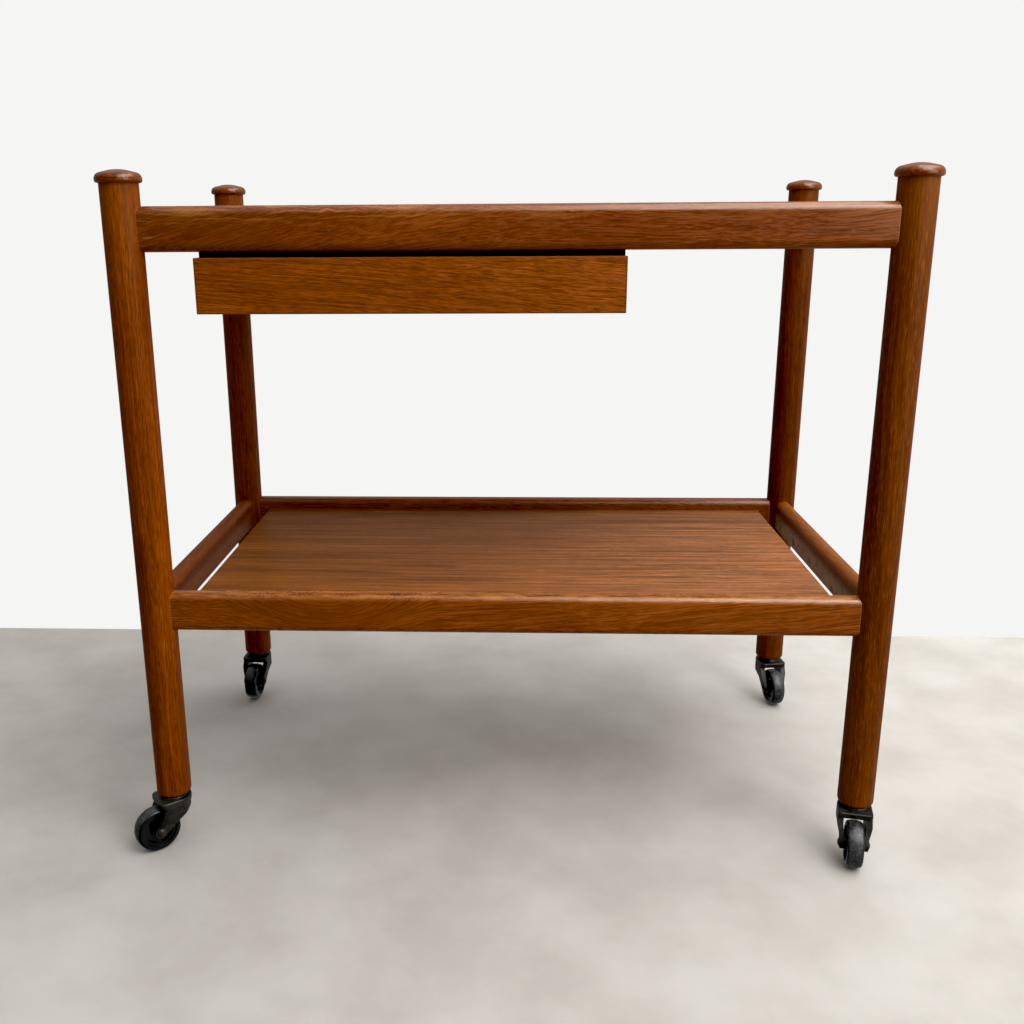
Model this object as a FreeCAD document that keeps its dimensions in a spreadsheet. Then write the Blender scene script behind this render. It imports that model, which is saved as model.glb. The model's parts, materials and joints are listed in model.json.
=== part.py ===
"""Bar cart: four round legs on swivel casters, two railed shelves and a drawer hung under the top.

The origin is on the floor below the middle of the cart. +Z is up, the drawer opens towards -Y
and the long side lies along X. Every length is in millimetres.
"""
import FreeCAD, Part
import math
import os
import re
import Sketcher

# Driving dimensions: lengths in millimetres, angles in degrees, shares without a unit.
SIZES = {
    # Legs, measured between their axes
    "leg_span_x": 690,
    "leg_span_y": 358,
    "leg_diameter": 34.2,
    "leg_top": 654.7,
    "foot_height": 58.4,
    "foot_edge_radius": 3.5,
    # Turned caps
    "cap_diameter": 40.6,
    "cap_height": 11.6,
    "cap_rim_height": 7.9,
    "cap_underside_radius": 2.4,
    "cap_shoulder_radius": 6,
    "cap_crown_radius": 40,
    "cap_flat_diameter": 10,
    "spigot_diameter": 14,
    "spigot_length": 20,
    # Rails and their joints
    "rail_thickness": 17,
    "rail_edge_share": 0.47,
    "upper_rail_drop": 19.6,
    "upper_rail_height": 39.5,
    "lower_rail_top": 276,
    "lower_rail_height": 39.8,
    "tenon_thickness": 8,
    "tenon_height": 22,
    "tenon_depth": 11,
    "glue_gap": 0.1,
    # Shelf panels
    "panel_drop": 14,
    "panel_thickness": 14,
    "panel_groove_depth": 6,
    "panel_tongue": 8,
    "panel_end_gap": 21.2,
    "panel_edge_radius": 1,
    # Drawer
    "drawer_leg_gap": 63.3,
    "drawer_width_share": 0.5535,
    "drawer_front_height": 49.1,
    "drawer_front_thickness": 16,
    "drawer_front_edge_radius": 0.9,
    "drawer_top_gap": 4.9,
    "drawer_rear_gap": 39.75,
    "drawer_side_height": 44,
    "drawer_side_thickness": 12,
    "drawer_side_housing": 6,
    "drawer_grip_drop": 2.8,
    "drawer_back_thickness": 10,
    "drawer_back_housing": 4,
    "drawer_bottom_thickness": 4,
    "drawer_bottom_groove": 5,
    "drawer_bottom_rise": 6,
    # Hanger frame under the top panel
    "hanger_inset": 0.5,
    "hanger_wall": 6,
    "hanger_side_gap": 1.5,
    "hanger_setback": 17.2,
    "hanger_flange_width": 26,
    "hanger_flange_thickness": 6,
    "tongue_rise": 20,
    "tongue_height": 8,
    "tongue_reach": 5,
    "slide_gap": 0.25,
    "bar_thickness": 12,
    "bar_clearance": 1.8,
    "stop_overlap": 15,
    "screw_diameter": 4,
    "screw_head_diameter": 8,
    "screw_length": 14,
    "screw_end_inset": 40,
    # Casters: the wheel
    "wheel_diameter": 46,
    "wheel_width": 15.5,
    "wheel_trail": 21,
    "tyre_depth": 5.5,
    "tread_crown": 1.3,
    "tread_crown_radius": 16,
    "tread_flat_width": 5,
    "tyre_edge_radius": 2.4,
    "rim_depth": 3,
    "rim_width": 12.5,
    "web_thickness": 7,
    "hub_diameter": 16,
    "hub_width": 17.8,
    "hub_side_gap": 0.4,
    # Casters: the fork and its axle
    "fork_width": 33,
    "fork_foot_width": 26.6,
    "fork_slot_width": 21.4,
    "fork_lip_reach": 19.5,
    "fork_lip_radius": 5,
    "fork_plate_thickness": 5.5,
    "fork_lead_drop": 0.8,
    "fork_taper_drop": 9,
    "fork_bend_radius": 5,
    "fork_slot_radius": 1.5,
    "fork_edge_radius": 1.2,
    "fork_boss_diameter": 12.5,
    "axle_diameter": 6,
    "rivet_head_diameter": 9.4,
    "rivet_head_height": 2.1,
    "rivet_rim_height": 0.6,
    "rivet_rim_radius": 0.6,
    "rivet_crown_diameter": 3.2,
    "rivet_crown_radius": 4.5,
    "running_gap": 0.05,
    # Casters: the swivel
    "collar_diameter": 27,
    "collar_height": 2.3,
    "collar_edge_radius": 1.2,
    "swivel_gap": 0.1,
    "socket_flange_diameter": 23,
    "socket_flange_thickness": 1.5,
    "socket_diameter": 11,
    "socket_length": 40,
    "stem_diameter": 8,
    "stem_length": 36,
    "stem_tip_radius": 1.5,
    "stem_head_diameter": 13,
    "stem_head_thickness": 1.4,
    # Direction in which each wheel trails its leg, counted from +X
    "trail_angle_front_left": 219,
    "trail_angle_front_right": 257.5,
    "trail_angle_rear_left": 265.5,
    "trail_angle_rear_right": 278,
    # How far a cut runs past the solid
    "overrun": 5,
}

# Places and fits worked out from the driving dimensions.
PLACES = {
    "leg_x": "leg_span_x / 2",
    "leg_y": "leg_span_y / 2",
    "leg_radius": "leg_diameter / 2",
    "rail_half": "rail_thickness / 2",
    "rail_edge_radius": "rail_thickness * rail_edge_share",
    "upper_rail_top": "leg_top - upper_rail_drop",
    "upper_rail_middle": "upper_rail_top - upper_rail_height / 2",
    "lower_rail_middle": "lower_rail_top - lower_rail_height / 2",
    "panel_length": "leg_span_x - rail_thickness - 2 * panel_end_gap",
    "panel_width": "leg_span_y - rail_thickness - 2 * glue_gap",
    "panel_depth": "leg_span_y - rail_thickness + 2 * (panel_groove_depth - glue_gap)",
    "top_panel_top": "upper_rail_top - panel_drop",
    "top_panel_bottom": "top_panel_top - panel_thickness",
    "lower_panel_top": "lower_rail_top - panel_drop",
    # Drawer, seen from its own middle in X
    "drawer_front_width": "leg_span_x * drawer_width_share",
    "drawer_centre_x": "drawer_leg_gap + drawer_front_width / 2 - leg_x",
    "drawer_face_y": "-leg_y - rail_half",
    "drawer_inner_y": "drawer_face_y + drawer_front_thickness",
    "drawer_end_y": "leg_y - rail_half - drawer_rear_gap - bar_thickness - slide_gap",
    "drawer_depth": "drawer_end_y - drawer_inner_y",
    "drawer_front_top": "upper_rail_top - upper_rail_height - drawer_top_gap",
    "drawer_front_bottom": "drawer_front_top - drawer_front_height",
    "drawer_side_bottom": "drawer_front_bottom + drawer_grip_drop",
    "drawer_side_top": "drawer_side_bottom + drawer_side_height",
    "drawer_bottom_low": "drawer_side_bottom + drawer_bottom_rise",
    "drawer_bottom_high": "drawer_bottom_low + drawer_bottom_thickness",
    "hanger_outer_x": "drawer_front_width / 2 - hanger_inset",
    "hanger_inner_x": "hanger_outer_x - hanger_wall",
    "side_outer_x": "hanger_inner_x - hanger_side_gap",
    "side_inner_x": "side_outer_x - drawer_side_thickness",
    "tongue_tip_x": "side_outer_x - tongue_reach",
    "tongue_bottom": "drawer_side_bottom + tongue_rise",
    "tongue_top": "tongue_bottom + tongue_height",
    "front_bar_y": "drawer_face_y + hanger_setback",
    "hanger_front_y": "front_bar_y + bar_thickness",
    "stop_y": "drawer_end_y + slide_gap",
    "hanger_length": "stop_y - hanger_front_y",
    "flange_bottom": "top_panel_bottom - hanger_flange_thickness",
    "flange_tip_x": "hanger_outer_x - hanger_flange_width",
    "front_bar_bottom": "drawer_side_top + bar_clearance",
    "stop_bottom": "drawer_side_top - stop_overlap",
    "screw_x": "hanger_inner_x - (hanger_inner_x - flange_tip_x) / 2",
    "screw_head_height": "(screw_head_diameter - screw_diameter) / 2",
    "screw_hole_diameter": "screw_diameter + 2 * glue_gap",
    "screw_spacing": "(hanger_length - 2 * screw_end_inset) / 2",
    # Casters, from the floor up
    "axle_height": "wheel_diameter / 2",
    "tyre_bore_radius": "wheel_diameter / 2 - tyre_depth",
    "bore_radius": "axle_diameter / 2 + running_gap",
    "collar_top": "foot_height - socket_flange_thickness - swivel_gap",
    "fork_top": "collar_top - collar_height",
    "fork_plate_bottom": "fork_top - fork_plate_thickness",
    "fork_radius": "fork_width / 2",
    "fork_boss_radius": "fork_boss_diameter / 2",
    "fork_boss_top": "axle_height + fork_boss_radius",
    "fork_taper_top": "fork_plate_bottom - fork_taper_drop",
    "fork_bottom": "axle_height - fork_boss_radius - overrun",
    "slot_foot_half": "hub_width / 2 + hub_side_gap",
    "stem_hole_radius": "stem_diameter / 2 + running_gap",
}

os.makedirs("parts", exist_ok=True)
doc = FreeCAD.newDocument("bar_cart")
sheet = doc.addObject("Spreadsheet::Sheet", "Sizes")
cells = [(alias, str(size)) for alias, size in SIZES.items()]
cells += [(alias, "=" + text) for alias, text in PLACES.items()]
for row, (alias, content) in enumerate(cells, start=1):
    sheet.set(f"A{row}", alias)
    sheet.set(f"B{row}", content)
    sheet.setAlias(f"B{row}", alias)
doc.recompute()
ALIASES = {alias for alias, content in cells}
sub_parts = []

# Sign of a place on each side of a middle plane: left or front, then right or rear.
SIDES = ("-", "")

# Edges whose ends differ in height by less than this count as flat.
FLATNESS = 1e-4


def formula(text):
    """Turns each cell name in a formula into a reference to the sheet."""
    return re.sub(r"[a-z]\w*", lambda word: ("Sizes." if word[0] in ALIASES else "") + word[0], str(text))


def number(text):
    """The present value of a formula."""
    return float(sheet.evalExpression(str(text)))


def bind(thing, path, text):
    thing.setExpression(path, formula(text))


def new_body(label, x="0", y="0", angle="0"):
    """A sub-part's body, placed in the cart at x, y and turned about the upright axis."""
    body = doc.addObject("PartDesign::Body", label)
    body.Label = label
    body.Placement = FreeCAD.Placement(
        FreeCAD.Vector(number(x), number(y), 0),
        FreeCAD.Rotation(FreeCAD.Vector(0, 0, 1), number(angle)),
    )
    bind(body, "Placement.Base.x", x)
    bind(body, "Placement.Base.y", y)
    bind(body, "Placement.Rotation.Angle", angle)
    sub_parts.append(body)
    return body


def new_sketch(body, plane, lift="0", rise="0"):
    """A sketch on one of the body's origin planes, moved along its normal and its own upright."""
    sketch = body.newObject("Sketcher::SketchObject", f"{body.Name}_sketch")
    support = next(feature for feature in body.Origin.OriginFeatures if feature.Role == plane)
    sketch.AttachmentSupport = (support, [""])
    sketch.MapMode = "FlatFace"
    bind(sketch, "AttachmentOffset.Base.z", lift)
    bind(sketch, "AttachmentOffset.Base.y", rise)
    return sketch


def dimension(sketch, text, kind, *references):
    """Adds a dimension to the sketch and binds it to a formula."""
    index = sketch.addConstraint(Sketcher.Constraint(kind, *references, number(text)))
    name = f"size_{index}"
    sketch.renameConstraint(index, name)
    bind(sketch, f"Constraints.{name}", text)


def locate(sketch, geometry, point, x, y):
    """Holds a point of the sketch at x, y from the sketch's origin."""
    dimension(sketch, x, "DistanceX", -1, 1, geometry, point)
    dimension(sketch, y, "DistanceY", -1, 1, geometry, point)


def draw_circle(sketch, x, y, radius):
    centre = FreeCAD.Vector(number(x), number(y), 0)
    circle = sketch.addGeometry(Part.Circle(centre, FreeCAD.Vector(0, 0, 1), number(radius)))
    locate(sketch, circle, 3, x, y)
    dimension(sketch, radius, "Radius", circle)


def tangent_ends(before, corner, after, radius, about):
    """Where the arc at a corner leaves the two straight sides, its centre and its turn.

    With about, the arc is centred on the corner and the sides run as tangents to it. Otherwise
    the corner is where the sides would meet, and the arc rounds it off.
    """
    if about:
        ends = []
        for other, turn in ((before, -1), (after, 1)):
            reach = corner - other
            lean = turn * math.asin(radius / reach.Length)
            run = math.sqrt(reach.Length**2 - radius**2)
            along = FreeCAD.Rotation(FreeCAD.Vector(0, 0, 1), math.degrees(lean)).multVec(reach)
            ends.append(other + along.normalize() * run)
        return ends[0], ends[1], corner, True
    inward = (before - corner).normalize()
    outward = (after - corner).normalize()
    half_angle = inward.getAngle(outward) / 2
    reach = radius / math.tan(half_angle)
    centre = corner + (inward + outward).normalize() * (radius / math.sin(half_angle))
    left_turn = inward.cross(outward).z < 0
    return corner + inward * reach, corner + outward * reach, centre, left_turn


def draw_outline(sketch, corners):
    """Draws a closed outline, counter-clockwise, with every corner located by formulas.

    A corner is (x, y), (x, y, radius) where it is rounded off, or (x, y, radius, "about") where
    the outline wraps round a circle with that centre.
    """
    points = [FreeCAD.Vector(number(corner[0]), number(corner[1]), 0) for corner in corners]
    count = len(corners)
    leave, arrive, arcs = {}, {}, {}
    for i, corner in enumerate(corners):
        arrive[i] = leave[i] = points[i]
        if len(corner) > 2:
            arrive[i], leave[i], centre, left_turn = tangent_ends(
                points[i - 1], points[i], points[(i + 1) % count], number(corner[2]), len(corner) > 3
            )
            first, last = (arrive[i], leave[i]) if left_turn else (leave[i], arrive[i])
            start = math.atan2(first.y - centre.y, first.x - centre.x)
            end = math.atan2(last.y - centre.y, last.x - centre.x)
            circle = Part.Circle(centre, FreeCAD.Vector(0, 0, 1), number(corner[2]))
            arcs[i] = (sketch.addGeometry(Part.ArcOfCircle(circle, start, end)), left_turn)
    lines = []
    for i in range(count):
        lines.append(sketch.addGeometry(Part.LineSegment(leave[i], arrive[(i + 1) % count])))
    for i, corner in enumerate(corners):
        if i not in arcs:
            sketch.addConstraint(Sketcher.Constraint("Coincident", lines[i - 1], 2, lines[i], 1))
            locate(sketch, lines[i], 1, corner[0], corner[1])
            continue
        arc, left_turn = arcs[i]
        first, last = (1, 2) if left_turn else (2, 1)
        sketch.addConstraint(Sketcher.Constraint("Tangent", lines[i - 1], 2, arc, first))
        sketch.addConstraint(Sketcher.Constraint("Tangent", arc, last, lines[i], 1))
        dimension(sketch, corner[2], "Radius", arc)
        if len(corner) > 3:
            locate(sketch, arc, 3, corner[0], corner[1])
            continue
        point = sketch.addGeometry(Part.Point(points[i]), True)
        sketch.addConstraint(Sketcher.Constraint("PointOnObject", point, 1, lines[i - 1]))
        sketch.addConstraint(Sketcher.Constraint("PointOnObject", point, 1, lines[i]))
        locate(sketch, point, 1, corner[0], corner[1])


def draw_box(sketch, left, bottom, right, top, radius=None):
    """Draws an upright rectangle, with rounded corners where a radius is given."""
    corners = [(left, bottom), (right, bottom), (right, top), (left, top)]
    if radius:
        corners = [corner + (radius,) for corner in corners]
    draw_outline(sketch, corners)


def pad(body, sketch, length, symmetric=False):
    feature = body.newObject("PartDesign::Pad", f"{body.Name}_pad")
    feature.Profile = sketch
    feature.SideType = "Symmetric" if symmetric else "One side"
    bind(feature, "Length", length)
    doc.recompute()
    return feature


def pad_backwards(body, sketch, length):
    """Pads a sketch of the cart's front view away from the front, along +Y."""
    feature = pad(body, sketch, length)
    feature.Reversed = True
    doc.recompute()


def pocket(body, sketch, length=None, symmetric=False, forward=False):
    """Cuts the sketch out of the body, through all of it where no length is given.

    The cut runs against the sketch's normal, or along it with forward.
    """
    volume = body.Shape.Volume
    feature = body.newObject("PartDesign::Pocket", f"{body.Name}_pocket")
    feature.Profile = sketch
    feature.SideType = "Symmetric" if symmetric else "One side"
    feature.Reversed = forward
    if length is None:
        feature.Type = "ThroughAll"
    else:
        bind(feature, "Length", length)
    doc.recompute()
    if body.Shape.Volume >= volume:
        raise RuntimeError(f"a cut in {body.Label} takes nothing away")


def revolve(body, sketch, axis):
    feature = body.newObject("PartDesign::Revolution", f"{body.Name}_turning")
    feature.Profile = sketch
    feature.ReferenceAxis = (sketch, [axis])
    feature.Angle = 360
    doc.recompute()


def round_top_edges(body, height, radius):
    """Rounds every edge of the body that lies flat at the given height."""
    base = body.Tip
    level = number(height)
    names = []
    for index, edge in enumerate(base.Shape.Edges, start=1):
        box = edge.BoundBox
        if abs(box.ZMin - level) < FLATNESS and abs(box.ZMax - level) < FLATNESS:
            names.append(f"Edge{index}")
    feature = body.newObject("PartDesign::Fillet", f"{body.Name}_rounding")
    feature.Base = (base, names)
    bind(feature, "Radius", radius)
    doc.recompute()


def turn_upright(body, corners):
    """Turns a profile of radius and height about the body's own upright axis."""
    sketch = new_sketch(body, "XZ_Plane")
    draw_outline(sketch, corners)
    revolve(body, sketch, "V_Axis")


def turn_on_axle(body, corners):
    """Turns a profile of place along the axle and radius about the caster's axle."""
    sketch = new_sketch(body, "YZ_Plane", lift="wheel_trail", rise="axle_height")
    draw_outline(sketch, corners)
    revolve(body, sketch, "H_Axis")


def make_leg(label, x, y, angle):
    """A round leg with a socket hole below, a spigot hole above and two mortises on each rail side."""
    body = new_body(label, x, y, angle)
    socket_radius = "socket_diameter / 2 + glue_gap"
    spigot_radius = "spigot_diameter / 2 + glue_gap"
    socket_end = "foot_height + socket_length + glue_gap"
    spigot_end = "leg_top - spigot_length - glue_gap"
    turn_upright(body, [
        (socket_radius, "foot_height"),
        ("leg_radius", "foot_height", "foot_edge_radius"),
        ("leg_radius", "leg_top"),
        (spigot_radius, "leg_top"),
        (spigot_radius, spigot_end),
        ("0", spigot_end),
        ("0", socket_end),
        (socket_radius, socket_end),
    ])
    mortise_half = "tenon_thickness / 2 + glue_gap"
    mortise_floor = "leg_radius - tenon_depth - glue_gap"
    mortise_sides = (
        ("YZ_Plane", mortise_floor, True),
        ("XZ_Plane", f"-({mortise_floor})", False),
    )
    for plane, lift, forward in mortise_sides:
        sketch = new_sketch(body, plane, lift)
        for middle in ("upper_rail_middle", "lower_rail_middle"):
            low = f"{middle} - tenon_height / 2 - glue_gap"
            high = f"{middle} + tenon_height / 2 + glue_gap"
            draw_box(sketch, f"-({mortise_half})", low, mortise_half, high)
        pocket(body, sketch, "tenon_depth + glue_gap + overrun", forward=forward)


def make_cap(label, x, y):
    """A turned mushroom cap whose spigot goes into the top of its leg."""
    body = new_body(label, x, y)
    cap_top = "leg_top + cap_height"
    turn_upright(body, [
        ("0", "leg_top - spigot_length"),
        ("spigot_diameter / 2", "leg_top - spigot_length"),
        ("spigot_diameter / 2", "leg_top"),
        ("cap_diameter / 2", "leg_top", "cap_underside_radius"),
        ("cap_diameter / 2", "leg_top + cap_rim_height", "cap_shoulder_radius"),
        ("cap_flat_diameter / 2", cap_top, "cap_crown_radius"),
        ("0", cap_top),
    ])


def make_rail(label, x, y, angle, span, top, height, grooved):
    """A bullnosed rail scribed to the round legs, with a stub tenon at each end.

    A grooved rail carries a long edge of the shelf panel on its inner side.
    """
    body = new_body(label, x, y, angle)
    section = new_sketch(body, "YZ_Plane")
    draw_box(section, "-rail_half", f"{top} - {height}", "rail_half", top, "rail_edge_radius")
    pad(body, section, span, symmetric=True)
    scribing = new_sketch(body, "XY_Plane")
    for side in SIDES:
        draw_circle(scribing, f"{side}{span} / 2", "0", "leg_radius + glue_gap")
    pocket(body, scribing, symmetric=True)
    tenon = new_sketch(body, "YZ_Plane")
    middle = f"{top} - {height} / 2"
    low = f"{middle} - tenon_height / 2"
    high = f"{middle} + tenon_height / 2"
    draw_box(tenon, "-tenon_thickness / 2", low, "tenon_thickness / 2", high)
    pad(body, tenon, f"{span} - leg_diameter + 2 * tenon_depth", symmetric=True)
    if grooved:
        groove = new_sketch(body, "YZ_Plane")
        floor = "rail_half - panel_groove_depth"
        panel_middle = f"{top} - panel_drop - panel_thickness / 2"
        low = f"{panel_middle} - panel_tongue / 2 - glue_gap"
        high = f"{panel_middle} + panel_tongue / 2 + glue_gap"
        draw_box(groove, floor, low, "rail_half + overrun", high)
        pocket(body, groove, "panel_length + 2 * glue_gap", symmetric=True)


def make_panel(label, top):
    """A shelf panel with softened ends; tongues along its long edges sit in the rails' grooves."""
    body = new_body(label)
    section = new_sketch(body, "XZ_Plane")
    half = "panel_length / 2"
    draw_box(section, f"-{half}", f"{top} - panel_thickness", half, top, "panel_edge_radius")
    pad(body, section, "panel_width", symmetric=True)
    tongue = new_sketch(body, "XZ_Plane")
    middle = f"{top} - panel_thickness / 2"
    low = f"{middle} - panel_tongue / 2"
    high = f"{middle} + panel_tongue / 2"
    draw_box(tongue, f"-{half}", low, half, high)
    pad(body, tongue, "panel_depth", symmetric=True)
    return body


def drill_screw_holes(body, centre_x):
    """Drills the hanger screws' holes up into the top panel."""
    sketch = new_sketch(body, "XY_Plane", lift="top_panel_bottom")
    for side in SIDES:
        for x, y in screw_places(side):
            draw_circle(sketch, f"{centre_x} + {x}", y, "screw_hole_diameter / 2")
    pocket(body, sketch, "screw_length - hanger_flange_thickness + glue_gap", forward=True)


def screw_places(side):
    """Three places along the hanger on one side of the drawer."""
    first = "hanger_front_y + screw_end_inset"
    return [(f"({side}screw_x)", f"{first} + {step} * screw_spacing") for step in range(3)]


def make_hanger(label, side):
    """A C-shaped hanger: its flange is screwed to the top panel and its tongue carries the drawer."""
    body = new_body(label, "drawer_centre_x")
    section = new_sketch(body, "XZ_Plane", lift="-hanger_front_y")
    corners = [
        ("tongue_tip_x", "tongue_bottom"),
        ("hanger_outer_x", "tongue_bottom"),
        ("hanger_outer_x", "top_panel_bottom"),
        ("flange_tip_x", "top_panel_bottom"),
        ("flange_tip_x", "flange_bottom"),
        ("hanger_inner_x", "flange_bottom"),
        ("hanger_inner_x", "tongue_top"),
        ("tongue_tip_x", "tongue_top"),
    ]
    if side:
        corners = [(f"-{x}", z) for x, z in reversed(corners)]
    draw_outline(section, corners)
    pad_backwards(body, section, "hanger_length")
    holes = new_sketch(body, "XY_Plane", lift="flange_bottom - overrun")
    heads = new_sketch(body, "XY_Plane", lift="flange_bottom + screw_head_height + glue_gap")
    for x, y in screw_places(side):
        draw_circle(holes, x, y, "screw_hole_diameter / 2")
        draw_circle(heads, x, y, "screw_head_diameter / 2 + glue_gap")
    pocket(body, holes, "hanger_flange_thickness + 2 * overrun", forward=True)
    pocket(body, heads, "screw_head_height + 2 * glue_gap")


def make_bar(label, front_y, bottom):
    """A bar across the hanger frame, against the ends of both hangers."""
    body = new_body(label, "drawer_centre_x")
    sketch = new_sketch(body, "XZ_Plane", lift=f"-({front_y})")
    draw_box(sketch, "-hanger_outer_x", bottom, "hanger_outer_x", "top_panel_bottom")
    pad_backwards(body, sketch, "bar_thickness")


def make_hanger_screws(label):
    """The countersunk screws that hold the hangers, as one group of separate solids."""
    screws = []
    for side in SIDES:
        for x, y in screw_places(side):
            screw = doc.addObject("Part::Cone", "screw_head")
            bind(screw, "Radius1", "screw_head_diameter / 2")
            bind(screw, "Radius2", "screw_diameter / 2")
            bind(screw, "Height", "screw_head_height")
            shank = doc.addObject("Part::Cylinder", "screw_shank")
            bind(shank, "Radius", "screw_diameter / 2")
            bind(shank, "Height", "screw_length")
            whole = doc.addObject("Part::Fuse", "screw")
            whole.Base = screw
            whole.Tool = shank
            bind(whole, "Placement.Base.x", f"drawer_centre_x + {x}")
            bind(whole, "Placement.Base.y", y)
            bind(whole, "Placement.Base.z", "flange_bottom")
            screws.append(whole)
    group = doc.addObject("Part::Compound", label)
    group.Label = label
    group.Links = screws
    sub_parts.append(group)


def make_drawer_front(label):
    """The drawer front, housed on its inner side for the two sides and the bottom."""
    body = new_body(label, "drawer_centre_x")
    face = new_sketch(body, "XZ_Plane", lift="-drawer_face_y")
    half = "drawer_front_width / 2"
    draw_box(face, f"-{half}", "drawer_front_bottom", half, "drawer_front_top", "drawer_front_edge_radius")
    pad_backwards(body, face, "drawer_front_thickness")
    housings = new_sketch(body, "XZ_Plane", lift="-drawer_inner_y")
    low = "drawer_side_bottom - glue_gap"
    high = "drawer_side_top + glue_gap"
    draw_box(housings, "-side_outer_x - glue_gap", low, "-side_inner_x + glue_gap", high)
    draw_box(housings, "side_inner_x - glue_gap", low, "side_outer_x + glue_gap", high)
    pocket(body, housings, "drawer_side_housing + glue_gap", forward=True)
    groove = new_sketch(body, "XZ_Plane", lift="-drawer_inner_y")
    reach = "side_inner_x + glue_gap"
    draw_box(groove, f"-({reach})", "drawer_bottom_low - glue_gap", reach, "drawer_bottom_high + glue_gap")
    pocket(body, groove, "drawer_bottom_groove + glue_gap", forward=True)


def make_drawer_side(label, side):
    """A drawer side: it runs on the hanger's tongue and is grooved for the bottom and the back."""
    body = new_body(label, "drawer_centre_x")
    front_y = "drawer_inner_y - drawer_side_housing"
    section = new_sketch(body, "XZ_Plane", lift=f"-({front_y})")
    bottom_floor = "side_inner_x + drawer_bottom_groove + glue_gap"
    running_floor = "tongue_tip_x - slide_gap"
    corners = [
        ("side_inner_x", "drawer_side_bottom"),
        ("side_outer_x", "drawer_side_bottom"),
        ("side_outer_x", "tongue_bottom - slide_gap"),
        (running_floor, "tongue_bottom - slide_gap"),
        (running_floor, "tongue_top + slide_gap"),
        ("side_outer_x", "tongue_top + slide_gap"),
        ("side_outer_x", "drawer_side_top"),
        ("side_inner_x", "drawer_side_top"),
        ("side_inner_x", "drawer_bottom_high + glue_gap"),
        (bottom_floor, "drawer_bottom_high + glue_gap"),
        (bottom_floor, "drawer_bottom_low - glue_gap"),
        ("side_inner_x", "drawer_bottom_low - glue_gap"),
    ]
    if side:
        corners = [(f"-({x})", z) for x, z in reversed(corners)]
    draw_outline(section, corners)
    pad_backwards(body, section, "drawer_depth + drawer_side_housing")
    housing = new_sketch(body, "XY_Plane", lift="drawer_bottom_high")
    left = "side_inner_x - overrun"
    right = "side_inner_x + drawer_back_housing + glue_gap"
    if side:
        left, right = f"-({right})", f"-({left})"
    front = "drawer_end_y - drawer_back_thickness - glue_gap"
    draw_box(housing, left, front, right, "drawer_end_y + overrun")
    pocket(body, housing, "drawer_side_height", forward=True)


def make_drawer_back(label):
    """The drawer back, above the bottom and housed in both sides."""
    body = new_body(label, "drawer_centre_x")
    face = new_sketch(body, "XZ_Plane", lift="-drawer_end_y")
    half = "side_inner_x + drawer_back_housing"
    draw_box(face, f"-({half})", "drawer_bottom_high + glue_gap", half, "drawer_side_top")
    pad(body, face, "drawer_back_thickness")


def make_drawer_bottom(label):
    """The thin drawer bottom, slid under the back into the grooves of the sides and the front."""
    body = new_body(label, "drawer_centre_x")
    sketch = new_sketch(body, "XY_Plane", lift="drawer_bottom_low")
    half = "side_inner_x + drawer_bottom_groove"
    draw_box(sketch, f"-({half})", "drawer_inner_y - drawer_bottom_groove", half, "drawer_end_y")
    pad(body, sketch, "drawer_bottom_thickness")


def make_caster(corner, x, y, angle):
    """One swivel caster, made about its stem with the wheel trailing along its own X."""
    make_socket(new_body(f"caster_socket_{corner}", x, y, angle))
    make_stem(new_body(f"caster_stem_{corner}", x, y, angle))
    make_collar(new_body(f"caster_collar_{corner}", x, y, angle))
    make_fork(new_body(f"caster_fork_{corner}", x, y, angle))
    make_axle(new_body(f"caster_axle_{corner}", x, y, angle))
    make_wheel_core(new_body(f"wheel_core_{corner}", x, y, angle))
    make_tyre(new_body(f"wheel_tyre_{corner}", x, y, angle))


def make_socket(body):
    """The flanged sleeve in the leg, in which the stem turns."""
    flange_low = "foot_height - socket_flange_thickness"
    socket_top = "foot_height + socket_length"
    turn_upright(body, [
        ("stem_hole_radius", flange_low),
        ("socket_flange_diameter / 2", flange_low),
        ("socket_flange_diameter / 2", "foot_height"),
        ("socket_diameter / 2", "foot_height"),
        ("socket_diameter / 2", socket_top),
        ("stem_hole_radius", socket_top),
    ])


def make_stem(body):
    """The stem, headed under the fork's plate, through the collar and up into the socket."""
    head_low = "fork_plate_bottom - stem_head_thickness"
    stem_top = "foot_height + stem_length"
    turn_upright(body, [
        ("0", head_low),
        ("stem_head_diameter / 2", head_low),
        ("stem_head_diameter / 2", "fork_plate_bottom"),
        ("stem_diameter / 2", "fork_plate_bottom"),
        ("stem_diameter / 2", stem_top, "stem_tip_radius"),
        ("0", stem_top),
    ])


def make_collar(body):
    """The swivel collar that lies on the fork's plate round the stem."""
    turn_upright(body, [
        ("stem_hole_radius", "fork_top"),
        ("collar_diameter / 2", "fork_top"),
        ("collar_diameter / 2", "collar_top", "collar_edge_radius"),
        ("stem_hole_radius", "collar_top"),
    ])


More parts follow.
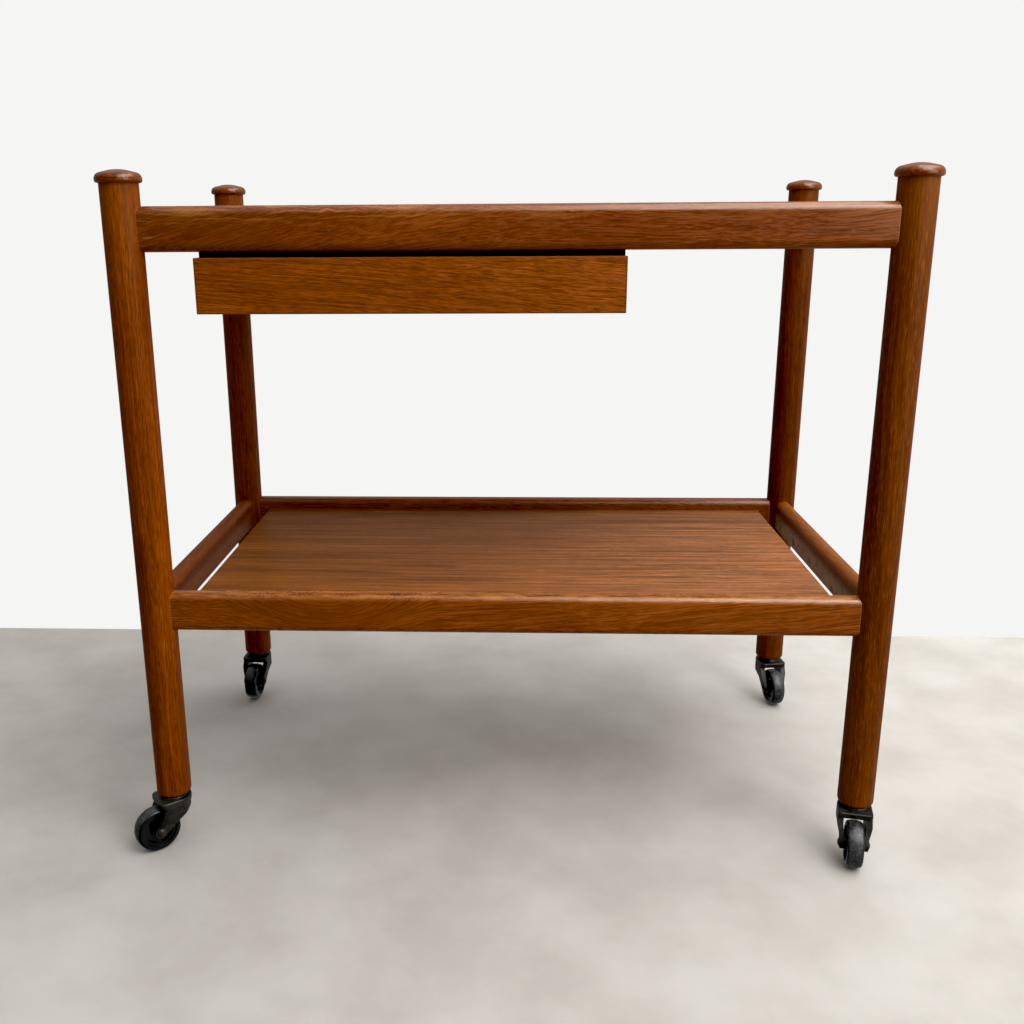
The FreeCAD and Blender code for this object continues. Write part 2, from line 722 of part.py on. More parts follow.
def make_fork(body):
    """The cast fork: a plate round the stem and two cheeks that taper down to the axle."""
    side_view = new_sketch(body, "XZ_Plane")
    draw_outline(side_view, [
        ("-fork_radius", "fork_plate_bottom - fork_lead_drop"),
        ("wheel_trail", "axle_height", "fork_boss_radius", "about"),
        ("fork_lip_reach - fork_lip_radius", "fork_plate_bottom"),
        ("-fork_radius", "fork_plate_bottom"),
    ])
    pad(body, side_view, "fork_width", symmetric=True)
    # The cheeks' swivel end follows the round plan; their trailing end is left whole.
    plan = new_sketch(body, "XY_Plane")
    far_end = "wheel_trail + fork_boss_diameter"
    wide = "fork_radius + overrun"
    draw_box(plan, f"-({wide})", f"-({wide})", f"{far_end} + overrun", wide)
    draw_outline(plan, [
        (far_end, "-fork_radius"),
        (far_end, "fork_radius"),
        ("0", "0", "fork_radius", "about"),
    ])
    pocket(body, plan, symmetric=True)
    cheeks = new_sketch(body, "YZ_Plane")
    half_slot = "fork_slot_width / 2"
    draw_outline(cheeks, [
        ("-slot_foot_half", "fork_bottom"),
        ("slot_foot_half", "fork_bottom"),
        ("slot_foot_half", "fork_boss_top", "fork_bend_radius"),
        (half_slot, "fork_taper_top", "fork_bend_radius"),
        (half_slot, "fork_plate_bottom", "fork_slot_radius"),
        (f"-{half_slot}", "fork_plate_bottom", "fork_slot_radius"),
        (f"-{half_slot}", "fork_taper_top", "fork_bend_radius"),
        ("-slot_foot_half", "fork_boss_top", "fork_bend_radius"),
    ])
    half_foot = "fork_foot_width / 2"
    outside = [
        (half_foot, "fork_bottom"),
        (wide, "fork_bottom"),
        (wide, "fork_plate_bottom"),
        ("fork_radius", "fork_plate_bottom"),
        ("fork_radius", "fork_taper_top", "fork_bend_radius"),
        (half_foot, "fork_boss_top", "fork_bend_radius"),
    ]
    draw_outline(cheeks, outside)
    draw_outline(cheeks, [(f"-({corner[0]})", *corner[1:]) for corner in reversed(outside)])
    pocket(body, cheeks, symmetric=True)
    plate = new_sketch(body, "XY_Plane", lift="fork_plate_bottom")
    draw_outline(plate, [
        ("fork_lip_reach", "-fork_radius", "fork_lip_radius"),
        ("fork_lip_reach", "fork_radius", "fork_lip_radius"),
        ("0", "0", "fork_radius", "about"),
    ])
    pad(body, plate, "fork_plate_thickness")
    round_top_edges(body, "fork_top", "fork_edge_radius")
    stem_hole = new_sketch(body, "XY_Plane", lift="fork_top")
    draw_circle(stem_hole, "0", "0", "stem_hole_radius")
    pocket(body, stem_hole)
    axle_hole = new_sketch(body, "XZ_Plane")
    draw_circle(axle_hole, "wheel_trail", "axle_height", "bore_radius")
    pocket(body, axle_hole, symmetric=True)


def make_axle(body):
    """The axle, a rivet with a domed head on each cheek."""
    seat = "fork_foot_width / 2"
    head_end = f"{seat} + rivet_head_height"
    right_side = [
        (head_end, "0"),
        (head_end, "rivet_crown_diameter / 2", "rivet_crown_radius"),
        (f"{seat} + rivet_rim_height", "rivet_head_diameter / 2", "rivet_rim_radius"),
        (seat, "rivet_head_diameter / 2"),
        (seat, "axle_diameter / 2"),
    ]
    left_side = [(f"-({corner[0]})", *corner[1:]) for corner in reversed(right_side)]
    turn_on_axle(body, right_side + left_side)


def make_wheel_core(body):
    """The wheel's core: a hub bored for the axle, a thinner web and a rim."""
    hub_half = "hub_width / 2"
    web_half = "web_thickness / 2"
    rim_half = "rim_width / 2"
    rim_radius = "tyre_bore_radius - glue_gap"
    rim_inner = f"{rim_radius} - rim_depth"
    hub_radius = "hub_diameter / 2"
    right_side = [
        (hub_half, "bore_radius"),
        (hub_half, hub_radius),
        (web_half, hub_radius),
        (web_half, rim_inner),
        (rim_half, rim_inner),
        (rim_half, rim_radius),
    ]
    left_side = [(f"-{place}", radius) for place, radius in reversed(right_side)]
    turn_on_axle(body, right_side + left_side)


def make_tyre(body):
    """The tyre: a ring with a slightly crowned tread and rounded edges."""
    half = "wheel_width / 2"
    outer = "wheel_diameter / 2"
    shoulder = f"{outer} - tread_crown"
    turn_on_axle(body, [
        (f"-{half}", "tyre_bore_radius"),
        (half, "tyre_bore_radius"),
        (half, shoulder, "tyre_edge_radius"),
        ("tread_flat_width / 2", outer, "tread_crown_radius"),
        ("-tread_flat_width / 2", outer, "tread_crown_radius"),
        (f"-{half}", shoulder, "tyre_edge_radius"),
    ])


# Each corner of the cart: signs of its place in X and Y, and the turn of its leg.
CORNERS = {
    "front_left": ("-", "-", "0"),
    "front_right": ("", "-", "90"),
    "rear_right": ("", "", "180"),
    "rear_left": ("-", "", "270"),
}
for corner, (sign_x, sign_y, turn) in CORNERS.items():
    leg_place = (f"{sign_x}leg_x", f"{sign_y}leg_y")
    make_leg(f"leg_{corner}", *leg_place, turn)
    make_cap(f"cap_{corner}", *leg_place)
    make_caster(corner, *leg_place, f"trail_angle_{corner}")

for level in ("upper", "lower"):
    section = (f"{level}_rail_top", f"{level}_rail_height")
    make_rail(f"{level}_rail_front", "0", "-leg_y", "0", "leg_span_x", *section, grooved=True)
    make_rail(f"{level}_rail_rear", "0", "leg_y", "180", "leg_span_x", *section, grooved=True)
    make_rail(f"{level}_rail_left", "-leg_x", "0", "90", "leg_span_y", *section, grooved=False)
    make_rail(f"{level}_rail_right", "leg_x", "0", "270", "leg_span_y", *section, grooved=False)

make_panel("lower_panel", "lower_panel_top")
drill_screw_holes(make_panel("top_panel", "top_panel_top"), "drawer_centre_x")

for name, side in zip(("left", "right"), SIDES):
    make_hanger(f"hanger_{name}", side)
    make_drawer_side(f"drawer_side_{name}", side)
make_bar("hanger_front_bar", "front_bar_y", "front_bar_bottom")
make_bar("hanger_rear_bar", "stop_y", "stop_bottom")
make_hanger_screws("hanger_screws")
make_drawer_front("drawer_front")
make_drawer_back("drawer_back")
make_drawer_bottom("drawer_bottom")

doc.recompute()
failed = [thing.Label for thing in doc.Objects if {"Invalid", "Error"} & set(thing.State)]
failed += [piece.Label for piece in sub_parts if piece.Shape.isNull() or not piece.Shape.isValid()]
if failed:
    raise RuntimeError("not built: " + ", ".join(failed))
for piece in sub_parts:
    piece.Shape.exportStep(f"parts/{piece.Label}.step")
print(len(sub_parts), "sub-parts written")
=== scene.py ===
"""Looks of the bar cart: oiled teak, black hangers and dark casters on a plain pale floor."""
import json
import math

import bpy
import numpy as np
from mathutils import Matrix, Vector


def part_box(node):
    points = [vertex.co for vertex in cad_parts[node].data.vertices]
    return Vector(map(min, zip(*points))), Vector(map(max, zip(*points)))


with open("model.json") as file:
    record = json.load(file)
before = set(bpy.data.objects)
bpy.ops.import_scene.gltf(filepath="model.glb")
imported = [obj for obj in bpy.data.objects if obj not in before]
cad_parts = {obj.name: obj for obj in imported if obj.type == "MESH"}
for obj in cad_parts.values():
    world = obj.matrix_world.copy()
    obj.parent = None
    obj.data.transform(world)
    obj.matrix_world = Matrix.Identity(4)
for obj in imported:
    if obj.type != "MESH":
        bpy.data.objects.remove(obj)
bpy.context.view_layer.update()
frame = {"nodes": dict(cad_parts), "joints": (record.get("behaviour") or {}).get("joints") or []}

nodes = frame["nodes"]
scene = bpy.context.scene
CORNERS = ("front_left", "front_right", "rear_left", "rear_right")

# Tones of each wood, in linear light: dark in the rings, pale between them, and the glow of slow patches.
TEAK_DARK = (0.055, 0.0095, 0.0007)
TEAK = (TEAK_DARK, (0.17, 0.038, 0.0022), (0.13, 0.026, 0.0014))
LOWER_FRONT_TEAK = (TEAK_DARK, (0.215, 0.05, 0.0025), (0.167, 0.035, 0.0016))
SHELF_TEAK = ((0.112, 0.034, 0.006), (0.255, 0.085, 0.0155), (0.21, 0.067, 0.012))
DRAWER_TEAK = ((0.085, 0.0165, 0.001), (0.209, 0.0505, 0.0026), (0.169, 0.0385, 0.0018))
BEECH = ((0.36, 0.22, 0.11), (0.55, 0.38, 0.22), (0.5, 0.33, 0.18))
BIRCH = ((0.4, 0.26, 0.13), (0.6, 0.43, 0.26), (0.55, 0.38, 0.22))
# Black stain, near black so that the hangers and bars also paint the deep shade in the gap above the drawer.
BLACK_STAIN_AND_SHADE = ((0.003, 0.003, 0.003), (0.012, 0.011, 0.01), (0.008, 0.0075, 0.007))

# How much of each of the teak's colours shows in each leg and in the rails of each side; the right rails'
# paler, greyer tint paints the sheen on their inner faces.
LEG_TINTS = {
    "front_left": (1.08, 1.1, 1.1),
    "front_right": (0.72, 0.81, 0.72),
    "rear_left": (1.0, 1.0, 1.0),
    "rear_right": (0.68, 0.7, 0.7),
}
SIDE_TINTS_AND_SHEEN = {"left": (1.0, 1.0, 0.8), "right": (1.4, 1.8, 1.9)}

# Tones of the marks on the wood, some of them painted highlight, sheen and shade, and the tint of its oil in
# reflected light.
# The first tone is for the legs' paler tops and for the painted highlight on the rails' scribed edges.
PALE_TOP_AND_HIGHLIGHT = (0.32, 0.11, 0.02)
PALE_PORES = (0.24, 0.075, 0.012)
CHECK_DARK = (0.03, 0.008, 0.001)
# The grey-brown film tone is partly dust and partly painted sheen.
DUST_AND_SHEEN_FILM = (0.28, 0.165, 0.09)
GOLDEN = (0.34, 0.14, 0.03)
# The golden top tone of the lower front rail is partly wear and partly painted light.
RUBBED_AND_LIT = (0.36, 0.125, 0.016)
LIPPING_DARK = (0.075, 0.014, 0.0015)
LIPPING_PALE = (0.2, 0.062, 0.018)
SCUFF_PALE = (0.36, 0.2, 0.1)
OIL_TINT = (1.0, 0.86, 0.74)

# Waves per metre of each noise in the wood, along the grain and then both ways across it.
RIPPLE_RATES = (14.0, 80.0, 80.0)
STREAK_RATES = (2.5, 300.0, 300.0)
FIBRE_RATES = (8.0, 900.0, 900.0)
FLECK_RATES = (110.0, 1500.0, 1500.0)
PORE_RATES = (90.0, 1000.0, 1000.0)
PATCH_RATES = (5.0, 22.0, 22.0)

# Where most values of a noise lie, and the slightly wider spread that is used for the fibres.
NOISE_SPREAD = (0.3, 0.7)
FIBRE_SPREAD = (0.28, 0.72)

# Order of the parts of the object's place that brings each grain direction to X.
GRAIN_ORDER = {"X": (0, 1, 2), "Y": (1, 0, 2), "Z": (2, 0, 1)}

# The knot on top of the lower front rail, left of the middle, and the place that its arches go round.
KNOT = (-0.111, -0.182, 0.276)
ARCHES = (-0.175, -0.1875, 0.282)

# Cracks in the upper front rail: start and end along X, height at the start, and rise per metre.
DRYING_CHECKS = ((0.246, 0.316, 0.6092, 0.03), (-0.178, -0.15, 0.6126, 0.02))

# Tones of the tyres, and how far each tread is worn.
TYRE_BLACK = (0.005, 0.005, 0.0055)
TREAD_GREY = (0.04, 0.04, 0.041)
TREAD_CHIPS = (0.3, 0.3, 0.3)
TREAD_WEAR = {"front_left": 0.7, "front_right": 1.0, "rear_left": 0.3, "rear_right": 1.0}

# The stage: half its width, the backdrop's place along Y, and the tones of floor, backdrop and sky.
STAGE_REACH = 12.0
BACKDROP_Y = 0.39
FLOOR_DARK = (0.38, 0.355, 0.325)
FLOOR_PALE = (0.46, 0.437, 0.405)
FAR_FLOOR = (0.9, 0.9, 0.89, 1.0)
BACKDROP_WHITE = (0.915, 0.915, 0.905, 1.0)
SKY_WHITE = (0.92, 0.92, 0.91, 1.0)

# The room's dim light along each axis: where its rise starts and ends, and its strength before and after.
ROOM_LIGHT = {
    "X": (0.2, 0.9, 0.0, 0.25),
    "Y": (-0.3, 0.6, 0.05, 0.22),
    "Z": (0.2, 0.9, 0.0, 0.6),
}

# Each lamp's place, the point that it faces, its width and height in metres, and its watts.
LAMPS = {
    "ceiling": ((0.9, -0.35, 2.25), (0.1, 0.0, 0.3), (1.8, 1.6), 38.0),
    "front_right": ((0.75, -1.35, 1.9), (0.0, 0.0, 0.4), (1.4, 1.1), 24.0),
    "window": ((1.2, -1.1, 0.9), (0.2, -0.19, 0.45), (1.0, 1.2), 10.0),
    "wall": ((0.35, 0.8, 0.5), (0.0, 0.0, 0.0), (3.0, 0.9), 11.0),
}

# The camera: its place in metres, its turns in degrees, its lens in millimetres and its frame's shift.
CAMERA_PLACE = (0.00129, -1.1014, 0.61728)
CAMERA_PITCH = 15.1797
CAMERA_ROLL = 0.3687
CAMERA_YAW = -2.3667
SENSOR_WIDTH = 36.0
FOCAL_LENGTH = 35.8691
FRAME_SHIFT = (0.039, -0.0099)
BLACK_LEVEL = (0.008, 0.008, 0.008)


def place(tree, kind, inputs=None, **options):
    """Adds a node, sets its options, and sets or links its inputs by name or number."""
    node = tree.nodes.new(kind)
    for option, value in options.items():
        setattr(node, option, value)
    for socket, value in (inputs or {}).items():
        if isinstance(value, bpy.types.NodeSocket):
            tree.links.new(value, node.inputs[socket])
        else:
            node.inputs[socket].default_value = value
    return node


def calculate(tree, operation, *values):
    """One Math node; its values are numbers or sockets."""
    return place(tree, "ShaderNodeMath", dict(enumerate(values)), operation=operation).outputs[0]


def multiply(tree, first, *others):
    """The product of several sockets or numbers."""
    for other in others:
        first = calculate(tree, "MULTIPLY", first, other)
    return first


def fade(tree, value, low, high, start=0.0, end=1.0):
    """A smooth step of value from start at low to end at high."""
    inputs = {"Value": value, "From Min": low, "From Max": high, "To Min": start, "To Max": end}
    return place(tree, "ShaderNodeMapRange", inputs, interpolation_type="SMOOTHSTEP").outputs[0]


def vary(tree, value, spread, depth):
    """A factor that goes from depth below 1 to depth above 1 over a noise value's spread."""
    return fade(tree, value, *spread, 1.0 - depth, 1.0 + depth)


def noise(tree, spot, scale=1.0, detail=2.0, roughness=0.5):
    """A Noise node; its first output is a value about one half and its second a colour."""
    inputs = {"Vector": spot, "Scale": scale, "Detail": detail, "Roughness": roughness}
    return place(tree, "ShaderNodeTexNoise", inputs).outputs


def arrow(tree, operation, *values):
    """One Vector Math node that gives a vector."""
    return place(tree, "ShaderNodeVectorMath", dict(enumerate(values)), operation=operation).outputs[0]


def stretch(tree, spot, scales):
    """The vector with each of its parts multiplied, so that a pattern runs long or short along it."""
    return arrow(tree, "MULTIPLY", spot, scales)


def length(tree, spot):
    """The length of a vector."""
    return place(tree, "ShaderNodeVectorMath", {0: spot}, operation="LENGTH").outputs["Value"]


def split(tree, spot):
    """The X, Y and Z of a vector."""
    return place(tree, "ShaderNodeSeparateXYZ", {0: spot}).outputs


def mix_colours(tree, factor, first, second):
    """Goes from the first colour to the second as the factor goes from 0 to 1; each is a tone or a socket."""
    first, second = ((*colour, 1.0) if isinstance(colour, tuple) else colour for colour in (first, second))
    inputs = {0: factor, 6: first, 7: second}
    return place(tree, "ShaderNodeMix", inputs, data_type="RGBA").outputs[2]


def new_group(name, inputs, outputs):
    """An empty shader group with named sockets; inputs give the kind of each label."""
    tree = bpy.data.node_groups.new(name, "ShaderNodeTree")
    for label, kind in inputs.items():
        tree.interface.new_socket(label, in_out="INPUT", socket_type="NodeSocket" + kind)
    for label in outputs:
        tree.interface.new_socket(label, in_out="OUTPUT", socket_type="NodeSocketFloat")
    return tree, place(tree, "NodeGroupInput").outputs, place(tree, "NodeGroupOutput").inputs


def make_wood_figure():
    """Figure of sawn wood, with the grain along X of its place.

    Growth rings are circles about a pith line that lies off the board. Slow noise pushes them about,
    so that they meet the surface in long arches. Streaks, fibres, flecks and pores are noise drawn out
    along the pushed grain. The tone is slow noise for broad patches.
    """
    push_shares = (1.0, 4.0, 4.0)
    ripple_depth = 0.0028
    uneven_rate, uneven_depth = 0.45, 1.6
    ring_power, ring_end = 2.0, 0.86
    pore_edge = (0.56, 0.68)
    tree, given, result = new_group(
        "wood_figure",
        {
            "Place": "Vector",
            "Pith": "Vector",
            "Ring Width": "Float",
            "Wander": "Float",
            "Wander Rate": "Float",
        },
        ["Rings", "Streaks", "Fibres", "Flecks", "Pores", "Tone"],
    )
    where = given["Place"]
    slow = noise(tree, stretch(tree, where, push_shares), given["Wander Rate"])["Color"]
    inputs = {0: arrow(tree, "SUBTRACT", slow, (0.5, 0.5, 0.5)), "Scale": given["Wander"]}
    push = place(tree, "ShaderNodeVectorMath", inputs, operation="SCALE").outputs[0]
    quick = noise(tree, stretch(tree, where, RIPPLE_RATES), detail=1.0)["Color"]
    ripple = stretch(tree, quick, (0.0, ripple_depth, ripple_depth))
    moved = arrow(tree, "ADD", arrow(tree, "ADD", where, push), ripple)
    across = stretch(tree, arrow(tree, "SUBTRACT", moved, given["Pith"]), (0.0, 1.0, 1.0))
    count = calculate(tree, "DIVIDE", length(tree, across), given["Ring Width"])
    inputs = {"W": count, "Scale": uneven_rate, "Detail": 1.0}
    uneven = place(tree, "ShaderNodeTexNoise", inputs, noise_dimensions="1D").outputs[0]
    share = calculate(tree, "FRACT", calculate(tree, "MULTIPLY_ADD", uneven, uneven_depth, count))
    darkening = calculate(tree, "POWER", share, ring_power)
    rings = multiply(tree, darkening, fade(tree, share, ring_end, 1.0, 1.0, 0.0))
    dashes = noise(tree, stretch(tree, moved, PORE_RATES), detail=1.0)[0]
    figure = {
        "Rings": rings,
        "Streaks": noise(tree, stretch(tree, moved, STREAK_RATES), roughness=0.6)[0],
        "Fibres": noise(tree, stretch(tree, moved, FIBRE_RATES), roughness=0.6)[0],
        "Flecks": noise(tree, stretch(tree, moved, FLECK_RATES), detail=1.0)[0],
        "Pores": fade(tree, dashes, *pore_edge),
        "Tone": noise(tree, stretch(tree, where, PATCH_RATES), detail=3.0)[0],
    }
    for label, value in figure.items():
        tree.links.new(value, result[label])
    return tree


def make_wear_marks():
    """Marks of use: clouds of rubbed or dusty surface, and fine grit."""
    cloud_edge = (0.38, 0.68)
    grit_rate = 1600.0
    inputs = {"Place": "Vector", "Cloud Scale": "Float"}
    tree, given, result = new_group("wear_marks", inputs, ["Clouds", "Grit"])
    clouds = noise(tree, given["Place"], given["Cloud Scale"], 5.0, 0.6)[0]
    tree.links.new(fade(tree, clouds, *cloud_edge), result["Clouds"])
    grit = noise(tree, given["Place"], grit_rate, 3.0, 0.6)[0]
    tree.links.new(grit, result["Grit"])
    return tree


def make_scribed_edges():
    """A mask that is 1 on the arris where a rail is scribed to its round leg.

    It goes by the distance from the nearest leg's axis, less the leg's radius.
    """
    outer, inner = 0.0014, 0.0006
    tree, given, result = new_group("scribed_edges", {"Place": "Vector"}, ["Edge"])
    low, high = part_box("leg_rear_right")
    axis_x, axis_y = (low[0] + high[0]) / 2.0, (low[1] + high[1]) / 2.0
    radius = (high[0] - low[0]) / 2.0
    from_axis = arrow(tree, "SUBTRACT", arrow(tree, "ABSOLUTE", given["Place"]), (axis_x, axis_y, 0.0))
    distance = length(tree, stretch(tree, from_axis, (1.0, 1.0, 0.0)))
    tree.links.new(fade(tree, distance, radius + outer, radius + inner), result["Edge"])
    return tree


WOOD_FIGURE = make_wood_figure()
WEAR_MARKS = make_wear_marks()
SCRIBED_EDGES = make_scribed_edges()


def new_material(name):
    """A material with its Principled shader joined up, its node tree and the object's own coordinates."""
    material = bpy.data.materials.new(name)
    material.use_nodes = True
    tree = material.node_tree
    tree.nodes.clear()
    shader = place(tree, "ShaderNodeBsdfPrincipled")
    place(tree, "ShaderNodeOutputMaterial", {"Surface": shader.outputs[0]})
    where = place(tree, "ShaderNodeTexCoord").outputs["Object"]
    return material, tree, shader, where


def raise_relief(tree, shader, height, strength, distance):
    """Lets a height bend the shader's normals."""
    relief = place(tree, "ShaderNodeBump", {"Strength": strength, "Distance": distance, "Height": height})
    tree.links.new(relief.outputs[0], shader.inputs["Normal"])


def wood(name, grain, tones, pith=(0.0, 0.03, 0.05), tilt=(0.0, 0.0), ring_width=0.004, wander=0.012,
         wander_rate=2.0, ring_depth=0.4, streak_depth=0.2, fibre_depth=0.4, fleck_depth=0.25, pore_tone=None,
         pore_depth=0.5, rough=(0.24, 0.4), gloss=0.6, bump=0.2, bend=None, marks=()):
    """Oiled wood, made in this order.

    Slow patches lean from the pale tone to the glow, and rings run from there to the dark tone. Streaks,
    fibres and flecks make it lighter and darker along the grain, and pores put short dashes in it. The
    grain may lie a few degrees off the piece's length, by tilt in radians, and a bend may draw it aside.
    Marks come last.
    """
    pore_shade_share = 0.35
    pore_sink = -0.6
    relief_depth = 0.0004
    dark, pale, glow = tones
    material, tree, shader, where = new_material(name)
    parts = split(tree, bend(tree, where) if bend else where)
    ordered = {slot: parts[part] for slot, part in enumerate(GRAIN_ORDER[grain])}
    turned = place(tree, "ShaderNodeCombineXYZ", ordered)
    sawn = place(tree, "ShaderNodeMapping", {"Vector": turned.outputs[0], "Rotation": (0.0, *tilt)})
    inputs = {
        "Place": sawn.outputs[0],
        "Pith": pith,
        "Ring Width": ring_width,
        "Wander": wander,
        "Wander Rate": wander_rate,
    }
    figure = place(tree, "ShaderNodeGroup", inputs, node_tree=WOOD_FIGURE).outputs
    body = mix_colours(tree, fade(tree, figure["Tone"], *NOISE_SPREAD), pale, glow)
    ringed = mix_colours(tree, multiply(tree, figure["Rings"], ring_depth), body, dark)
    streaked = vary(tree, figure["Streaks"], NOISE_SPREAD, streak_depth)
    fibred = vary(tree, figure["Fibres"], FIBRE_SPREAD, fibre_depth)
    flecked = vary(tree, figure["Flecks"], NOISE_SPREAD, fleck_depth)
    light = multiply(tree, streaked, fibred, flecked)
    colour = place(tree, "ShaderNodeHueSaturation", {"Value": light, "Color": ringed}).outputs[0]
    dash = pore_tone or tuple(pore_shade_share * part for part in dark)
    colour = mix_colours(tree, multiply(tree, figure["Pores"], pore_depth), colour, dash)
    for mark in marks:
        colour = mark(tree, where, colour)
    tree.links.new(colour, shader.inputs["Base Color"])
    tree.links.new(fade(tree, figure["Fibres"], *NOISE_SPREAD, *rough), shader.inputs["Roughness"])
    shader.inputs["Specular IOR Level"].default_value = gloss
    shader.inputs["Specular Tint"].default_value = (*OIL_TINT, 1.0)
    fibre_height = calculate(tree, "MULTIPLY_ADD", figure["Pores"], pore_sink, figure["Fibres"])
    raise_relief(tree, shader, calculate(tree, "ADD", fibre_height, figure["Flecks"]), bump, relief_depth)
    return material


def tinted(tones, tint):
    """The tones with each colour multiplied by its part of the tint."""
    return tuple(tuple(np.multiply(tone, tint)) for tone in tones)


def dress(material, *names):
    """Gives the named CAD nodes this material."""
    for name in names:
        slots = nodes[name].data.materials
        slots.clear()
        slots.append(material)


def at_corners(*pieces):
    """The names of these pieces at all four corners."""
    return [f"{piece}_{corner}" for piece in pieces for corner in CORNERS]


def painted_edge_highlights(tree, where, colour):
    """Painted highlight: paler edges where a rail is scribed to the legs, on the arris that catches the
    light.
    """
    strength = 0.55
    edge = place(tree, "ShaderNodeGroup", {"Place": where}, node_tree=SCRIBED_EDGES).outputs["Edge"]
    return mix_colours(tree, multiply(tree, edge, strength), colour, PALE_TOP_AND_HIGHLIGHT)


def paler_tops(tree, where, colour):
    """The legs' upper ends, paler towards the top."""
    reach, strength = 0.13, 0.13
    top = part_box("leg_front_left")[1][2]
    top_share = fade(tree, split(tree, where)["Z"], top - reach, top, 0.0, strength)
    return mix_colours(tree, top_share, colour, PALE_TOP_AND_HIGHLIGHT)


def lipped_edges(tree, where, colour):
    """The drawer front's thin lippings: dark red at its ends and below, and paler along the top."""
    inner, outer = 0.0016, 0.0008
    dark_strength, pale_strength = 0.65, 0.6
    low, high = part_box("drawer_front")
    parts = split(tree, where)
    from_left = calculate(tree, "SUBTRACT", parts["X"], low[0])
    from_right = calculate(tree, "SUBTRACT", high[0], parts["X"])
    from_below = calculate(tree, "SUBTRACT", parts["Z"], low[2])
    from_above = calculate(tree, "SUBTRACT", high[2], parts["Z"])
    nearest = calculate(tree, "MINIMUM", calculate(tree, "MINIMUM", from_left, from_right), from_below)
    colour = mix_colours(tree, fade(tree, nearest, inner, outer, 0.0, dark_strength), colour, LIPPING_DARK)
    return mix_colours(tree, fade(tree, from_above, inner, outer, 0.0, pale_strength), colour, LIPPING_PALE)


def end_scuffs(tree, where, colour):
    """Pale scuffs along the grain at the left end of the upper front rail."""
    start_x, full_x = -0.296, -0.316
    line_rates = (45.0, 0.0, 420.0)
    line_edge = (0.58, 0.72)
    strength = 0.3
    end = fade(tree, split(tree, where)["X"], start_x, full_x)
    lines = fade(tree, noise(tree, stretch(tree, where, line_rates))[0], *line_edge)
    return mix_colours(tree, multiply(tree, end, lines, strength), colour, SCUFF_PALE)


def painted_shade_left(tree, where, colour):
    """Painted shade: the front rails' left ends, a little darker than the rest, where less light falls."""
    start_x, full_x = -0.08, -0.24
    strength = 0.2
    left = fade(tree, split(tree, where)["X"], start_x, full_x, 0.0, strength)
    return mix_colours(tree, left, colour, TEAK_DARK)


def golden_fibres(tree, where, colour):
    """Golden fibres near the top of the upper front rail, most at its left, in wavy lines along the grain."""
    right_x, left_x, right_share = 0.1, -0.1, 0.5
    start_depth, full_depth = 0.022, 0.006
    wave_rates, wave_depth = (50.0, 0.0, 50.0), 0.008
    line_rates = (16.0, 0.0, 520.0)
    line_edge = (0.48, 0.66)
    strength = 0.55
    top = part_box("upper_rail_front")[1][2]
    parts = split(tree, where)
    left = fade(tree, parts["X"], right_x, left_x, right_share, 1.0)
    high = fade(tree, parts["Z"], top - start_depth, top - full_depth)
    wave = stretch(tree, noise(tree, stretch(tree, where, wave_rates))["Color"], (0.0, 0.0, wave_depth))
    spot = stretch(tree, arrow(tree, "ADD", where, wave), line_rates)
    lines = fade(tree, noise(tree, spot)[0], *line_edge)
    return mix_colours(tree, multiply(tree, left, high, lines, strength), colour, GOLDEN)


def drying_checks(tree, where, colour):
    """Two thin cracks along the grain of the upper front rail, each broken by noise."""
    wobble_rates, wobble_depth = (70.0, 0.0, 0.0), 0.002
    break_rates, break_edge = (160.0, 0.0, 0.0), (0.38, 0.5)
    back_y, front_y = -0.184, -0.186
    taper = 0.01
    outer, inner = 0.0011, 0.0004
    strength = 0.8
    parts = split(tree, where)
    wobble = noise(tree, stretch(tree, where, wobble_rates))[0]
    broken = fade(tree, noise(tree, stretch(tree, where, break_rates), detail=1.0)[0], *break_edge)
    front = fade(tree, parts["Y"], back_y, front_y)
    for start, end, height, slope in DRYING_CHECKS:
        begun = fade(tree, parts["X"], start, start + taper)
        ended = fade(tree, parts["X"], end, end - taper)
        along = calculate(tree, "SUBTRACT", parts["X"], start)
        level = calculate(tree, "MULTIPLY_ADD", along, -slope, parts["Z"])
        above = calculate(tree, "SUBTRACT", level, height + wobble_depth / 2.0)
        offset = calculate(tree, "MULTIPLY_ADD", wobble, wobble_depth, above)
        thin = fade(tree, calculate(tree, "ABSOLUTE", offset), outer, inner)
        check = multiply(tree, thin, begun, ended, broken, front, strength)
        colour = mix_colours(tree, check, colour, CHECK_DARK)
    return colour


def painted_dark_reflection(tree, where, colour):
    """Painted dark reflection: a darker band along the lower side rails' inner faces, just below their
    rounded tops.
    """
    rounding, flat = 0.0012, 0.0004
    band_start, band_full, band_fading, band_end = 0.0065, 0.0095, 0.014, 0.02
    strength = 0.55
    low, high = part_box("lower_rail_right")
    parts = split(tree, where)
    inside = fade(tree, calculate(tree, "ABSOLUTE", parts["X"]), low[0] + rounding, low[0] + flat)
    below = fade(tree, parts["Z"], high[2] - band_start, high[2] - band_full)
    above = fade(tree, parts["Z"], high[2] - band_end, high[2] - band_fading)
    return mix_colours(tree, multiply(tree, inside, below, above, strength), colour, TEAK_DARK)


